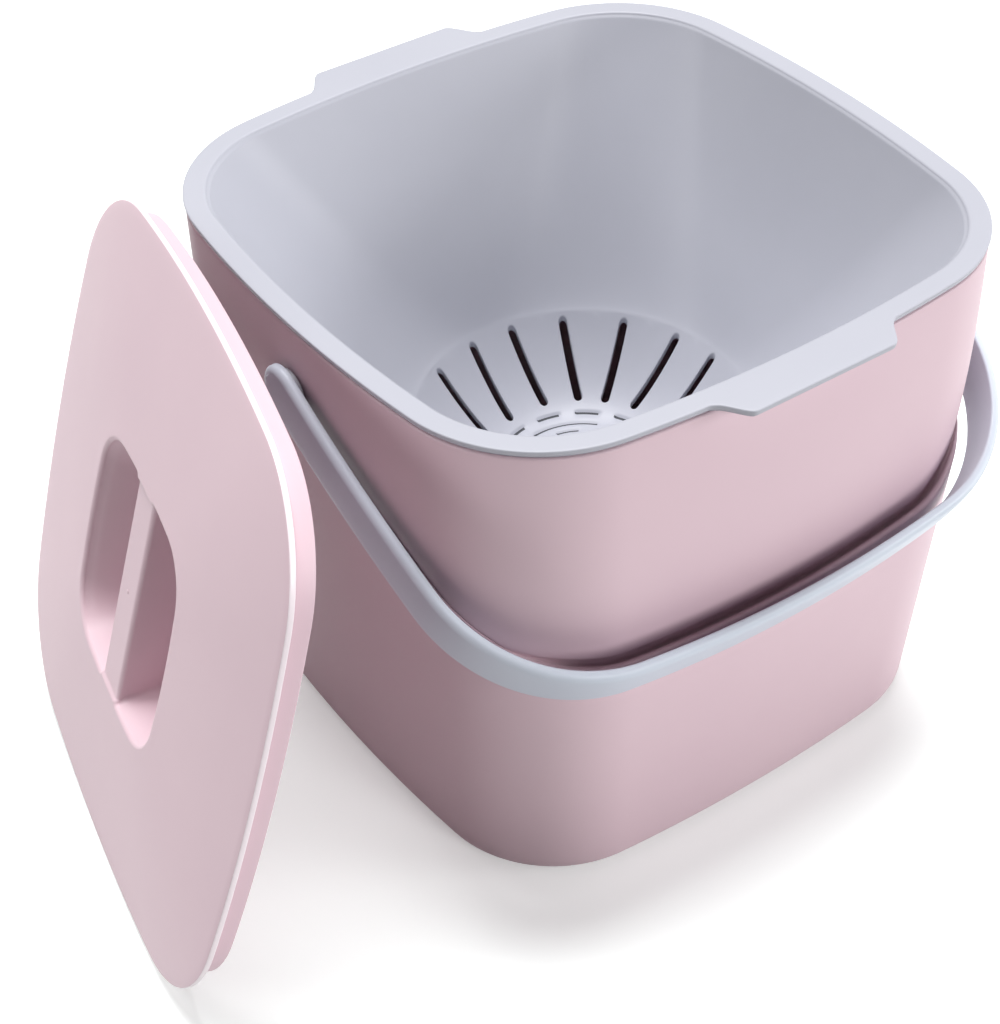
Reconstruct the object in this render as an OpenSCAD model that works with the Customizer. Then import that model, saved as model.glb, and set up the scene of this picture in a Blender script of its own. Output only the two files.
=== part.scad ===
// Compost caddy: a bucket with a swinging bail, a strainer basket that hangs from its rim,
// and a loose lid with a sunk grip. The origin is the middle of the base, on the floor.
// The bail hangs at the front (-Y), and the lid leans at the left (-X).

/* [Bucket] */
// Width across the top edge, left to right
top_w = 219; // [190:1:250]
// Depth across the top edge, front to back
top_d = 215; // [190:1:250]
// Height of the top edge
bucket_h = 187; // [165:1:210]
// Corner radius at the top edge
top_r = 50; // [38:1:58]
// Width across the base
base_w = 196; // [176:1:205]
// Depth across the base
base_d = 196; // [176:1:203]
// Corner radius at the base
base_r = 45; // [36:1:52]
// How far each side bows out between its corners
side_bow = 3.4; // [1.5:0.1:5]
// Wall thickness
wall = 2.4; // [1.8:0.1:3]
// Floor thickness
floor_t = 2.8; // [2:0.1:4]
// Rounding of the base edge
base_edge = 5; // [3:0.5:7]

/* [Step under the bail] */
// Height of the hip, where the step is lowest
hip_z = 100; // [85:1:115]
// Depth across the lower wall at the hip, front to back
hip_d = 214.4; // [210:0.2:218]
// How far the collar is set back above the step, at front and back
step_in = 4.4; // [2:0.1:6]
// How far it is set back at the sides
side_in = 0.6; // [0.4:0.1:1]
// How far the step lies below the middle of the bail's strap
step_drop = 3.7; // [1:0.1:7]

/* [Basket] */
// Width of the flat rim
rim_band = 7.6; // [6:0.1:10]
// Thickness of the flat rim
rim_t = 3.2; // [2:0.1:4]
// How far the rim stands out past the bucket's top edge
rim_over = 0.5; // [0.2:0.1:1.5]
// Depth from the rim's top to the middle of the dish
basket_depth = 111; // [90:1:130]
// Radius of the round dish
dish_r = 58; // [50:1:66]
// Rise of the dish from its flat middle to its edge
dish_rise = 25.5; // [16:0.5:30]
// Radius of the dish's flat middle
flat_r = 26; // [20:1:29]
// Wall thickness of the basket
basket_wall = 2; // [1.6:0.1:2.4]
// Number of drain slots
slot_n = 18; // [12:1:24]
// Width of a drain slot
slot_w = 3; // [1.6:0.1:3.6]
// Radius at which the slots begin
slot_in = 35.5; // [34:0.5:40]
// Radius at which the slots end
slot_out = 55.5; // [44:0.5:57]
// How far a slot may lean from its radius, towards its side's own direction
slot_lean = 12; // [0:1:14]
// Width of a grip tab at its root
tab_w = 70; // [50:1:90]
// How far a grip tab stands out from the rim
tab_reach = 8.6; // [6:0.1:11]

/* [Bail] */
// How far the pivots lie below the bucket's top edge
pivot_drop = 22.6; // [18:0.2:30]
// Gap between the bail's arms and the basket's rim
bail_gap = 1.5; // [1:0.1:4]
// Gap between the strap and the tips of the grip tabs as it swings over them
bail_over = 9.2; // [5:0.2:14]
// Corner radius of the bail
bail_r = 56; // [46:1:62]
// Thickness of the strap
strap_t = 3.8; // [3:0.1:4.4]
// Width of the strap
strap_h = 18.8; // [15:0.2:21]
// Gap between the resting strap and the wall that stops it
rest_gap = 0.4; // [0.3:0.1:0.6]
// Radius of the studs' shanks
shank_r = 4; // [3:0.1:5]
// Radius of the studs' bosses between strap and wall
boss_r = 7; // [6:0.1:8.5]
// Radial clearance of the studs in the wall
stud_fit = 0.08; // [0.05:0.01:0.1]

/* [Lid] */
// How far the lid's plate laps over the basket's opening
lid_lap = 3; // [2:0.1:5]
// Thickness of the plate at its edge
edge_t = 2; // [1.6:0.1:3]
// Height of the domed face above the edge
dome_h = 7.4; // [4:0.1:10]
// Thickness of the domed face and the well
lid_wall = 2; // [1.6:0.1:2.4]
// Depth of the plug below the face's edge
plug_h = 9.4; // [7:0.1:9.8]
// Clearance of the plug in the opening
plug_gap = 1; // [0.8:0.1:2]
// Length of the well along the grip bar
well_l = 79; // [70:1:88]
// Width of the well across the grip bar
well_w = 80; // [70:1:90]
// Corner radius of the well
well_r = 17; // [12:1:22]
// Depth of the well below its lip
well_depth = 18; // [13:1:22]
// How far the well's walls lean in on their way down
well_draft = 6; // [3:0.5:8]
// Width of the grip bar
bar_w = 15.8; // [12:0.2:20]

/* [Lid where it stands] */
// Lean of the lid from upright
lid_lean = 16.5; // [10:0.5:25]
// Turn of the lid about the upright
lid_turn = 12.3; // [8:0.1:14]
// How far the plug's nearest corner tucks in beside the rounded part of the bail
lid_tuck = 5; // [-20:0.1:5.2]
// Distance of the lid's middle behind the caddy's middle
lid_back = 12.6; // [8:0.2:16]

/* [Hidden] */

pink = "#d8c0c8";
grey = "#ccd0da";
side_n = 3;            // segments along half a side of an outline
corner_n = 10;         // segments round one corner of an outline
eps = 0.01;

// the bucket's sizes at a height
half_w_low = base_w / 2;
half_w_top = top_w / 2;
taper = (half_w_top - half_w_low) / bucket_h;
collar_curve = 3;      // how strongly the collar swells above the step
top_lip = 0.8;         // rounding of the bucket's top edge

// the basket's opening and rim
rim_w = top_w + 2 * rim_over;
rim_d = top_d + 2 * rim_over;
rim_top = bucket_h + rim_t;
rim_r = top_r + rim_over;
open_w = rim_w - 2 * rim_band;
open_d = rim_d - 2 * rim_band;
open_r = rim_r - rim_band;
tab_tip = rim_d / 2 + tab_reach;
tab_swing = 9;         // length over which a tab's edge swings out
basket_lip = 1;        // rounding of the rim's inner edge
dish_z = rim_top - basket_depth;
dish_curve = 1.6;      // the dish steepens as it runs out
slot_turn = -0.05;     // turn of the ring of slots, as a share of a slot's pitch
bowl_curve = 0.9;      // the wall of the bowl steepens as it rises

// the bail clears the rim and the tabs, and hangs where its lower inner edge meets the front wall
pivot_z = bucket_h - pivot_drop;
arm_in = rim_w / 2 + bail_gap;
bail_half = arm_in + strap_t;
strap_in = norm([tab_tip, rim_top - pivot_z]) + bail_over;
bail_reach = strap_in + strap_t;
strap_half = strap_h / 2;
front_slope = (hip_d - base_d) / 2 / hip_z;
rest_a = strap_in + front_slope * strap_half;
rest_b = front_slope * strap_in - strap_half;
rest_c = base_d / 2 + front_slope * pivot_z + rest_gap;
bail_rest = atan2(rest_b, rest_a) + acos(rest_c / norm([rest_a, rest_b]));
step_peak = pivot_z - step_drop / cos(bail_rest);
step_cap = pivot_z - shank_r - boss_r;

// the studs between the arms and the side walls
boss_gap = 0.3;
spigot_l = strap_t * 0.6;
spigot_r = shank_r - 0.5;
spigot_fit = 0.05;     // the spigots' clearance in the arms, all round and at both ends
head_r = shank_r + 1.2;
head_t = 1.6;

// the lid's plate, plug and well; its x runs along the caddy's depth
lid_w = open_d + 2 * lid_lap;
lid_l = open_w + 2 * lid_lap;
lid_r = open_r + lid_lap;
edge_soft = 0.5;       // rounding of the plate's edge
lip_soft = 1.6;        // rounding of the well's lip
plug_w = open_d - 2 * plug_gap;
plug_l = open_w - 2 * plug_gap;
plug_r = open_r - plug_gap;
lip_ratio = well_w / lid_w;
lip_z = dome_h * (1 - lip_ratio * lip_ratio);
well_z = lip_z - well_depth;
bar_drop = 0.9;        // how far the grip bar lies below the lip
bar_z = lip_z - bar_drop;

// the lid stands on its lower edge, with the plug's nearest corner beside the bail
lid_z = lid_l / 2 * cos(lid_lean) + (edge_t - edge_soft) * sin(lid_lean);
across = sin(lid_turn);
along = sin(lid_lean) * cos(lid_turn);
corner_reach = (plug_w / 2 - plug_r) * across + (plug_l / 2 - plug_r) * along + plug_r * norm([across, along]);
lid_left = bail_half - lid_tuck + corner_reach + plug_h * cos(lid_lean) * cos(lid_turn);

over = 10;             // how far a cut runs past what it cuts
function mix(a, b, t) = a + (b - a) * t;
function ease(t) = let (u = min(max(t, 0), 1)) u * u * (3 - 2 * u);
function arc_radius(half_chord, rise) = (half_chord * half_chord + rise * rise) / (2 * rise);

// Normal angles round one quarter of an outline: half a side, a corner, half a side
function quarter_angles(a, b, r, bow) =
    let (across = asin((b - r - bow) / arc_radius(b - r - bow, bow)))
    let (along = asin((a - r - bow) / arc_radius(a - r - bow, bow)))
    concat(
        [for (i = [0:side_n - 1]) across * i / side_n],
        [for (i = [0:corner_n]) mix(across, 90 - along, i / corner_n)],
        [for (i = [1:side_n]) 90 - along + along * i / side_n]
    );

// The point of that quarter whose normal lies at the angle
function quarter_point(angle, a, b, r, bow) =
    let (cx = a - r - bow)
    let (cy = b - r - bow)
    let (rx = arc_radius(cy, bow))
    let (ry = arc_radius(cx, bow))
    angle < asin(cy / rx) - eps
        ? [a - r - rx + (rx + r) * cos(angle), (rx + r) * sin(angle)]
    : angle > 90 - asin(cx / ry) + eps
        ? [(ry + r) * cos(angle), b - r - ry + (ry + r) * sin(angle)]
    : [cx + r * cos(angle), cy + r * sin(angle)];

// Normal angles round the whole outline, anticlockwise from +X
function all_angles(quarter) =
    let (n = len(quarter) - 1)
    concat(
        [for (i = [0:n - 1]) quarter[i]],
        [for (i = [n:-1:1]) 180 - quarter[i]],
        [for (i = [0:n - 1]) 180 + quarter[i]],
        [for (i = [n:-1:1]) 360 - quarter[i]]
    );

// A rounded rectangle with bowed sides: half sizes a and b, corner radius r
function outline(a, b, r, bow) =
    let (angles = all_angles(quarter_angles(a, b, r, bow)))
    [for (t = angles)
        let (p = quarter_point(atan2(abs(sin(t)), abs(cos(t))), a, b, r, bow))
        [sign(cos(t)) * p.x, sign(sin(t)) * p.y]];

function level(points, z) = [for (p = points) [p.x, p.y, z]];

// Unit vectors out of an outline, point by point
function normals(a, b, r, bow) =
    [for (t = all_angles(quarter_angles(a, b, r, bow))) [cos(t), sin(t)]];

// A solid through a list of rings: capped on the first and the last ring, or looped into a tube
module skin(rings, looped = false) {
    n = len(rings[0]);
    m = len(rings);
    last = looped ? m - 1 : m - 2;
    sides = [for (j = [0:last], i = [0:n - 1])
        let (a = j * n + i)
        let (b = j * n + (i + 1) % n)
        let (c = (j + 1) % m * n + i)
        let (d = (j + 1) % m * n + (i + 1) % n)
        each [[a, c, d], [a, d, b]]];
    caps = [[for (i = [0:n - 1]) i], [for (i = [n - 1:-1:0]) (m - 1) * n + i]];
    polyhedron([for (ring = rings) each ring], looped ? sides : concat(sides, caps));
}

// ---- bucket ----

base_ring = outline(half_w_low, base_d / 2, base_r, side_bow * 0.65);
hip_ring = outline(half_w_low + taper * hip_z, hip_d / 2, mix(base_r, top_r, 0.6), side_bow * 0.8);
top_ring = outline(half_w_top, top_d / 2, top_r, side_bow);
out_ring = normals(half_w_top, top_d / 2, top_r, side_bow);
columns = [0:len(base_ring) - 1];

// The lower wall's point in a column, at a height, moved in by an inset
function low_point(i, z, inset) =
    let (t = z / hip_z)
    let (p = mix(base_ring[i], hip_ring[i], t) - inset * out_ring[i])
    [p.x, p.y, z];

// The step falls from the pivots to front and back, in line with the resting bail
function step_z(i) =
    let (fall = tan(bail_rest))
    let (y_base = abs(base_ring[i].y))
    let (y_grow = (abs(hip_ring[i].y) - y_base) / hip_z)
    min(step_cap, (step_peak - y_base * fall) / (1 + y_grow * fall));

// The set-back is full at front and back and nearly gone at the sides
function set_back(i) = mix(side_in, step_in, ease((abs(out_ring[i].y) - 0.55) / 0.4));

// The collar's point in a column: t runs from the step to the top edge
function collar_point(i, t, inset) =
    let (z = step_z(i))
    let (foot = low_point(i, z, set_back(i) + inset))
    let (top = top_ring[i] - inset * out_ring[i])
    let (s = 1 - pow(1 - t, collar_curve))
    [mix(foot.x, top.x, s), mix(foot.y, top.y, s), mix(z, bucket_h, t)];

function low_ring(z, inset) = [for (i = columns) low_point(i, z, inset)];
function collar_ring(t, inset) = [for (i = columns) collar_point(i, t, inset)];
function step_edge(inset, drop) = [for (i = columns) low_point(i, step_z(i) - drop, inset)];

lip_t = 0.985;         // how far up the collar the rounding of its top edge begins

// Half width of the collar at the pivots' side, at a height
function side_x(z) = collar_point(0, (z - step_z(0)) / (bucket_h - step_z(0)), 0).x;
boss_end = side_x(pivot_z + boss_r) + boss_gap;
head_in = side_x(pivot_z - head_r) - wall - boss_gap;

module bucket_shell() {
    skin(concat(
        [for (a = [90:-22.5:0]) low_ring(base_edge * (1 - sin(a)), base_edge * (1 - cos(a)))],
        [step_edge(0, 0)],
        [for (t = [0, 0.06, 0.14, 0.25, 0.4, 0.6, 0.8, lip_t]) collar_ring(t, 0)],
        [level([for (i = columns) top_ring[i] - top_lip * out_ring[i]], bucket_h)],
        [level([for (i = columns) top_ring[i] - wall * out_ring[i]], bucket_h)],
        [for (t = [0.8, 0.6, 0.4, 0.25, 0.1]) collar_ring(t, wall)],
        [[for (i = columns) collar_point(i, 0, wall) - [0, 0, wall]]],
        [step_edge(wall, wall + 1)],
        [low_ring(floor_t + base_edge, wall)],
        [low_ring(floor_t + base_edge * 0.3, wall + base_edge * 0.3)],
        [low_ring(floor_t, wall + base_edge)]
    ));
}

module bucket() {
    color(pink) difference() {
        bucket_shell();
        translate([0, 0, pivot_z]) rotate([0, 90, 0])
            cylinder(r = shank_r + stud_fit, h = top_w + 2 * over, center = true, $fn = 48);
    }
}

// ---- basket ----

// Height of the dish's inside at a radius: a flat middle, then a rise that steepens to the edge
function dish_floor(r) =
    dish_z + dish_rise * pow(max(0, r - flat_r) / (dish_r - flat_r), dish_curve);

// The wall of the bowl: u runs from the round dish (0) to the rim (1)
open_ring = outline(open_w / 2, open_d / 2, open_r, side_bow);
open_out = normals(open_w / 2, open_d / 2, open_r, side_bow);
function wall_ring(u, out, down) =
    let (s = pow(u, bowl_curve))
    [for (i = [0:len(open_ring) - 1])
        let (p = mix(dish_r * open_out[i], open_ring[i], s) + out * open_out[i])
        [p.x, p.y, mix(dish_floor(dish_r), rim_top, u) - down]];
function foot_ring(in, down) =
    level((dish_r - in) * open_out, dish_floor(dish_r - in) - down);

module basket_wall_shell() {
    u_lip = 1 - basket_lip / (rim_top - dish_floor(dish_r));
    u_rim = 1 - (rim_t + 0.4) / (rim_top - dish_floor(dish_r));
    rise = [0.05, 0.13, 0.24, 0.36, 0.5, 0.65, 0.8, 0.9];
    lap = basket_wall * 0.8;
    seam = 0.25;
    out = function(u) basket_wall * mix(0.7, 1, min(1, u * 3));
    down = function(u) basket_wall * mix(0.7, 0, min(1, u * 3));
    skin(concat(
        [foot_ring(lap * 0.75, basket_wall)],
        [wall_ring(0, basket_wall * 0.55, basket_wall * 0.8)],
        [for (u = rise) wall_ring(u, out(u), down(u))],
        [wall_ring(u_rim, basket_wall * 1.5, 0)],
        [wall_ring(1, basket_wall, 0)],
        [wall_ring(1, basket_lip, 0)],
        [wall_ring(u_lip, 0, 0)],
        [for (i = [len(rise) - 1:-1:0]) wall_ring(rise[i], 0, 0)],
        [wall_ring(0, seam, -seam / 2)],
        [foot_ring(lap, seam)]
    ), looped = true);
}

module basket_dish() {
    cones = 8;
    under = basket_wall * 1.15;
    radii = concat([0], [for (i = [0:cones]) mix(flat_r, dish_r, i / cones)]);
    n = len(radii);
    rotate_extrude($fn = 96) polygon(concat(
        [for (r = radii) [r, dish_floor(r)]],
        [for (i = [n - 1:-1:0]) [radii[i], dish_floor(radii[i]) - under]]
    ));
}

// One grip tab in plan: the edge swings out and back between its two roots
module tab_plan() {
    sunk = side_bow * 0.2;
    root = rim_d / 2 - rim_band / 2;
    edge = [for (x = [-tab_w / 2:1:tab_w / 2])
        [x, rim_d / 2 - sunk + (tab_reach + sunk) * ease((tab_w / 2 - abs(x)) / tab_swing)]];
    polygon(concat([[tab_w / 2, root], [-tab_w / 2, root]], edge));
}

// One slot, its middle on the x axis, leaning by an angle about that middle
module slot_plan(lean) {
    slot_half = (slot_out - slot_in) / 2;
    translate([slot_in + slot_half, 0]) rotate(lean) {
        translate([-slot_half, -slot_w / 2]) square([2 * slot_half, slot_w]);
        for (x = [-slot_half, slot_half]) translate([x, 0]) circle(d = slot_w, $fn = 24);
    }
}

module basket() {
    color(grey) {
        basket_wall_shell();
        translate([0, 0, bucket_h]) linear_extrude(rim_t) difference() {
            union() {
                polygon(outline(rim_w / 2, rim_d / 2, rim_r, side_bow));
                tab_plan();
                mirror([0, 1, 0]) tab_plan();
            }
            polygon(outline(open_w / 2 + basket_wall * 0.75, open_d / 2 + basket_wall * 0.75,
                open_r + basket_wall * 0.75, side_bow));
        }
        difference() {
            basket_dish();
            for (i = [0:slot_n - 1]) let (at = 360 / slot_n * (i + slot_turn)) rotate([0, 0, at])
                translate([0, 0, dish_z - over])
                    linear_extrude(dish_rise + 2 * over) slot_plan(-slot_lean * sin(4 * at));
        }
    }
}

// ---- bail and its studs ----

module bail_frame() {
    translate([0, 0, pivot_z]) rotate([bail_rest, 0, 0]) children();
}

module strap_plan() {
    difference() {
        polygon(outline(bail_half, bail_reach, bail_r, side_bow));
        polygon(outline(arm_in, strap_in, bail_r - strap_t, side_bow));
    }
}

module bail() {
    color(grey) bail_frame() difference() {
        intersection() {
            linear_extrude(strap_h, center = true) strap_plan();
            rotate([0, 90, 0]) linear_extrude(2 * bail_half + over, center = true) union() {
                circle(r = strap_half, $fn = 64);
                translate([-strap_half, -bail_reach - over]) square([strap_h, bail_reach + over]);
            }
        }
        rotate([0, 90, 0]) cylinder(r = spigot_r + spigot_fit,
            h = 2 * (arm_in + spigot_l + spigot_fit), center = true, $fn = 64);
    }
}

// A stud: its spigot sits in the arm, its boss fills the gap, its shank turns in the wall
module pivot_stud() {
    bowed = spigot_fit * 2;
    translate([0, 0, pivot_z]) rotate([0, 90, 0]) {
        translate([0, 0, boss_end]) cylinder(r = boss_r, h = arm_in - bowed - boss_end, $fn = 64);
        translate([0, 0, head_in]) cylinder(r = shank_r, h = boss_end - head_in + eps, $fn = 64);
        translate([0, 0, boss_end]) cylinder(r = spigot_r, h = arm_in + spigot_l - boss_end, $fn = 64);
        translate([0, 0, head_in - head_t]) cylinder(r = head_r, h = head_t, $fn = 64);
    }
}

module pivot_stud_right() {
    color(grey) pivot_stud();
}

module pivot_stud_left() {
    color(grey) mirror([1, 0, 0]) pivot_stud();
}

// ---- lid ----

module lid_frame() {
    translate([-lid_left, lid_back, lid_z])
        rotate([0, 90 - lid_lean, 180 - lid_turn]) rotate([0, 0, 90]) children();
}

// An outline of the lid between its edge (t = 0) and the lip of the well (t = 1)
function lid_ring(t, grow, z) =
    level(outline(mix(lid_w, well_w, t) / 2 + grow, mix(lid_l, well_l, t) / 2 + grow,
        mix(lid_r, well_r, t) + grow, mix(side_bow, 1, t)), z);
function dome_z(t) =
    let (ratio = mix(lid_w, well_w, t) / lid_w)
    dome_h * (1 - ratio * ratio);
function well_ring(grow, z) =
    lid_ring(1, grow - well_draft * (lip_z - z) / well_depth, z);

module cover_shell() {
    flat_zone = 0.14;
    skin(concat(
        [well_ring(lid_wall - 1.5, well_z - lid_wall)],
        [well_ring(lid_wall, well_z)],
        [well_ring(lid_wall, lip_z - lip_soft - lid_wall)],
        [for (t = [0.97, 0.8, 0.6, 0.4, flat_zone + 0.06]) lid_ring(t, 0, dome_z(t) - lid_wall)],
        [lid_ring(flat_zone, 0, -edge_t)],
        [lid_ring(0, -edge_soft, -edge_t)],
        [lid_ring(0, 0, -edge_t + edge_soft)],
        [lid_ring(0, 0, -edge_soft)],
        [lid_ring(0, -edge_soft, 0)],
        [for (t = [0.07, 0.2, 0.4, 0.6, 0.8]) lid_ring(t, 0, dome_z(t))],
        [lid_ring(1, lip_soft, dome_z(0.99))],
        [lid_ring(1, lip_soft * 0.3, lip_z - lip_soft * 0.3)],
        [well_ring(0, lip_z - lip_soft)],
        [well_ring(0, well_z + 1.5)],
        [well_ring(-1.5, well_z)]
    ));
}

// The inside of the well, grown into its walls, which trims the grip bar
module well_block() {
    grow = lid_wall / 2;
    skin([well_ring(grow, well_z - grow), well_ring(grow, lip_z - 0.3)]);
}

module lid_cover() {
    bar_low = well_z - lid_wall;
    bar_inner = bar_w - 2 * lid_wall;
    hollow_l = well_l - 2 * well_draft - 2 * lid_wall;
    color(pink) lid_frame() difference() {
        union() {
            cover_shell();
            intersection() {
                translate([-bar_w / 2, -well_l, bar_low]) cube([bar_w, 2 * well_l, bar_z - bar_low]);
                well_block();
            }
        }
        translate([-bar_inner / 2, -hollow_l / 2, bar_low - over])
            cube([bar_inner, hollow_l, bar_z - lid_wall - bar_low + over]);
    }
}

module lid_plug() {
    color(pink) lid_frame() translate([0, 0, -plug_h])
        linear_extrude(plug_h - edge_t) difference() {
            polygon(outline(plug_w / 2, plug_l / 2, plug_r, side_bow));
            polygon(outline(plug_w / 2 - lid_wall, plug_l / 2 - lid_wall, plug_r - lid_wall, side_bow));
        }
}

bucket();
basket();
bail();
pivot_stud_left();
pivot_stud_right();
lid_cover();
lid_plug();
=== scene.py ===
import math
import bpy
import numpy as np
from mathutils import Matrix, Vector


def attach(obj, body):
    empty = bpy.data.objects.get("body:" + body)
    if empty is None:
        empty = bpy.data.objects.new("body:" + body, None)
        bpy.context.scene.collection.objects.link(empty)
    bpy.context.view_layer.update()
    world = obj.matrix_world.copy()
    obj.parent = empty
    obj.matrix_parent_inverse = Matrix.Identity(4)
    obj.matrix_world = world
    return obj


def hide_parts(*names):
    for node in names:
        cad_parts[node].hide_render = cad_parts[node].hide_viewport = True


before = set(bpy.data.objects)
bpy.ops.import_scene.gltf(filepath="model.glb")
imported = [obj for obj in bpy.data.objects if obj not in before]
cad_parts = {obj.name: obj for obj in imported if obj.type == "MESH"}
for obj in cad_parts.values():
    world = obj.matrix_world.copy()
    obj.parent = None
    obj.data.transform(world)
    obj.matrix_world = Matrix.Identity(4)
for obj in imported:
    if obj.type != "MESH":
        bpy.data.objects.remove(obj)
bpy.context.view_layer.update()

mm = 0.001
sideSteps, cornerSteps = 16, 36  # points on half a side and on a corner of the bucket and the plug


def mix(a, b, t):  # straight blend: a + (b - a) * t
    return a + (b - a) * t


def ease(t):  # smoothstep: u*u*(3 - 2u) with u held between 0 and 1
    u = np.clip(t, 0.0, 1.0)
    return u * u * (3 - 2 * u)


def rounding(fromDeg, toDeg, count):
    # pairs along a quarter round of radius 1: 1 - cos(a) in from its face, 1 - sin(a) from its top
    a = np.radians(np.linspace(fromDeg, toDeg, count))
    return np.column_stack([1 - np.cos(a), 1 - np.sin(a)])


def arcRadius(halfChord, rise):  # circle through a chord: (chord^2 + rise^2) / (2 rise)
    return (halfChord ** 2 + rise ** 2) / (2 * rise)


def cornerAngles(halfX, halfY, bow, r):
    # normal angles at which the bowed sides hand over to the corner arc
    across = math.asin((halfY - r - bow) / arcRadius(halfY - r - bow, bow))
    along = math.asin((halfX - r - bow) / arcRadius(halfX - r - bow, bow))
    return across, math.pi / 2 - along


def outlineAngles(halfX, halfY, bow, r, sideN, cornerN):
    # normal angles all round: even steps in each half side and each corner
    lo, hi = cornerAngles(halfX, halfY, bow, r)
    quarter = np.concatenate([np.linspace(0, lo, sideN, endpoint=False),
                              np.linspace(lo, hi, cornerN, endpoint=False),
                              np.linspace(hi, math.pi / 2, sideN, endpoint=False)])
    back = np.pi - np.append(quarter, np.pi / 2)[:0:-1]
    half = np.concatenate([quarter, back])
    return np.concatenate([half, half + np.pi])


def outlineAt(angles, halfX, halfY, bow, r):
    # point of a rounded, bowed rectangle whose outward normal has the angle:
    # arc centre + (arc radius + r) * (cos, sin), mirrored into each quarter
    c, s = np.cos(angles), np.sin(angles)
    a = np.arctan2(np.abs(s), np.abs(c))
    cx, cy = halfX - r - bow, halfY - r - bow
    rx, ry = arcRadius(cy, bow), arcRadius(cx, bow)
    lo, hi = cornerAngles(halfX, halfY, bow, r)
    x = np.where(a < lo, halfX - r - rx + (rx + r) * np.cos(a),
                 np.where(a > hi, (ry + r) * np.cos(a), cx + r * np.cos(a)))
    y = np.where(a < lo, (rx + r) * np.sin(a),
                 np.where(a > hi, halfY - r - ry + (ry + r) * np.sin(a), cy + r * np.sin(a)))
    return np.stack([np.sign(c) * x, np.sign(s) * y], axis=1)


def outwardOf(loop):  # outward normals of a closed loop: its central difference, turned a quarter
    run = np.roll(loop, -1, axis=0) - np.roll(loop, 1, axis=0)
    run /= np.linalg.norm(run, axis=1)[:, None]
    return np.column_stack([run[:, 1], -run[:, 0]])


def level(flat, z):  # lifts flat points to the height z
    return np.column_stack([flat, np.broadcast_to(z, len(flat))])


class Shell:
    # collects grids of points and faces; coincident points are welded at the end
    def __init__(self):
        self.points, self.faces, self.parts, self.count = [], [], [], 0

    def add(self, points, faces, part, flip):
        self.faces.append((faces[:, ::-1] if flip else faces) + self.count)
        self.parts.append(np.full(len(faces), part))
        self.points.append(points)
        self.count += len(points)

    def grid(self, rings, flip=False, part=0):
        # one quad between each two rings and columns; the last column joins the first
        rings = np.asarray(rings, float)
        rows, cols = rings.shape[:2]
        i = np.arange(rows - 1)[:, None]
        j = np.arange(cols)[None, :]
        k = (j + 1) % cols
        quads = np.stack([i * cols + j, i * cols + k, (i + 1) * cols + k, (i + 1) * cols + j], axis=-1)
        self.add(rings.reshape(-1, 3), quads.reshape(-1, 4), part, flip)

    def stitch(self, a, b, keyA, keyB, flip=False):
        # triangles between two closed loops with different counts: each step along one loop takes
        # the point of the other whose key was passed last
        n, m = len(a), len(b)
        nextA, nextB = np.append(keyA[1:], keyA[0] + 2 * np.pi), np.append(keyB[1:], keyB[0] + 2 * np.pi)
        i, j = np.arange(n), np.arange(m)
        besideA = n + np.searchsorted(nextB, nextA, side="left") % m
        besideB = np.searchsorted(nextA, nextB, side="right") % n
        stepsA = np.column_stack([i, (i + 1) % n, besideA, besideA])
        stepsB = np.column_stack([besideB, n + (j + 1) % m, n + j, n + j])
        self.add(np.concatenate([a, b]), np.concatenate([stepsA, stepsB]), 0, flip)

    def welded(self, tol=2e-6):
        p = np.concatenate(self.points)
        _, first, inv = np.unique(np.round(p / tol).astype(np.int64), axis=0,
                                  return_index=True, return_inverse=True)
        f, parts = inv.reshape(-1)[np.concatenate(self.faces)], np.concatenate(self.parts)
        own = f != np.roll(f, 1, axis=1)  # False at a corner that repeats the one before it
        corners = own.sum(axis=1)
        quad = (corners == 4) & (f[:, 0] != f[:, 2]) & (f[:, 1] != f[:, 3])
        tri = corners == 3
        triangles = f[tri][own[tri]].reshape(-1, 3)
        return p[first], f[quad].tolist() + triangles.tolist(), np.concatenate([parts[quad], parts[tri]])


def addPiece(name, shell, materials, body, nodes, place=None):
    # one mesh object at the origin, in metres, riding on its body and standing for its CAD nodes
    points, faces, parts = shell.welded()
    if place is not None:
        points = points @ place[:3, :3].T + place[:3, 3]
    mesh = bpy.data.meshes.new(name)
    mesh.from_pydata((points * mm).tolist(), [], faces)
    mesh.shade_smooth()
    for material in materials:
        mesh.materials.append(material)
    mesh.polygons.foreach_set("material_index", parts)
    mesh.update()
    obj = bpy.data.objects.new(name, mesh)
    bpy.context.scene.collection.objects.link(obj)
    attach(obj, body)
    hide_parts(*nodes)
    return obj


def turnX(deg):
    c, s = math.cos(math.radians(deg)), math.sin(math.radians(deg))
    return np.array([[1, 0, 0], [0, c, -s], [0, s, c]])


def turnY(deg):
    c, s = math.cos(math.radians(deg)), math.sin(math.radians(deg))
    return np.array([[c, 0, s], [0, 1, 0], [-s, 0, c]])


def turnZ(deg):
    c, s = math.cos(math.radians(deg)), math.sin(math.radians(deg))
    return np.array([[c, -s, 0], [s, c, 0], [0, 0, 1]])


def placed(rotation, offset):  # 4 x 4 matrix from a turn and an offset in mm
    m = np.eye(4)
    m[:3, :3], m[:3, 3] = rotation, offset
    return m


def toLinear(hexText):  # "#rrggbb" in sRGB to linear RGBA
    v = np.array([int(hexText[i:i + 2], 16) for i in (1, 3, 5)]) / 255
    lin = np.where(v <= 0.04045, v / 12.92, ((v + 0.055) / 1.055) ** 2.4)
    return (*lin.tolist(), 1.0)


def addNode(tree, kind, values=None, links=None):
    # one shader node: values sets attributes or inputs, links feeds inputs from other sockets
    node = tree.nodes.new(kind)
    for key, val in (values or {}).items():
        if isinstance(key, str) and hasattr(node, key):
            setattr(node, key, val)
        else:
            node.inputs[key].default_value = val
    for key, source in (links or {}).items():
        tree.links.new(source, node.inputs[key])
    return node


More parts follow.
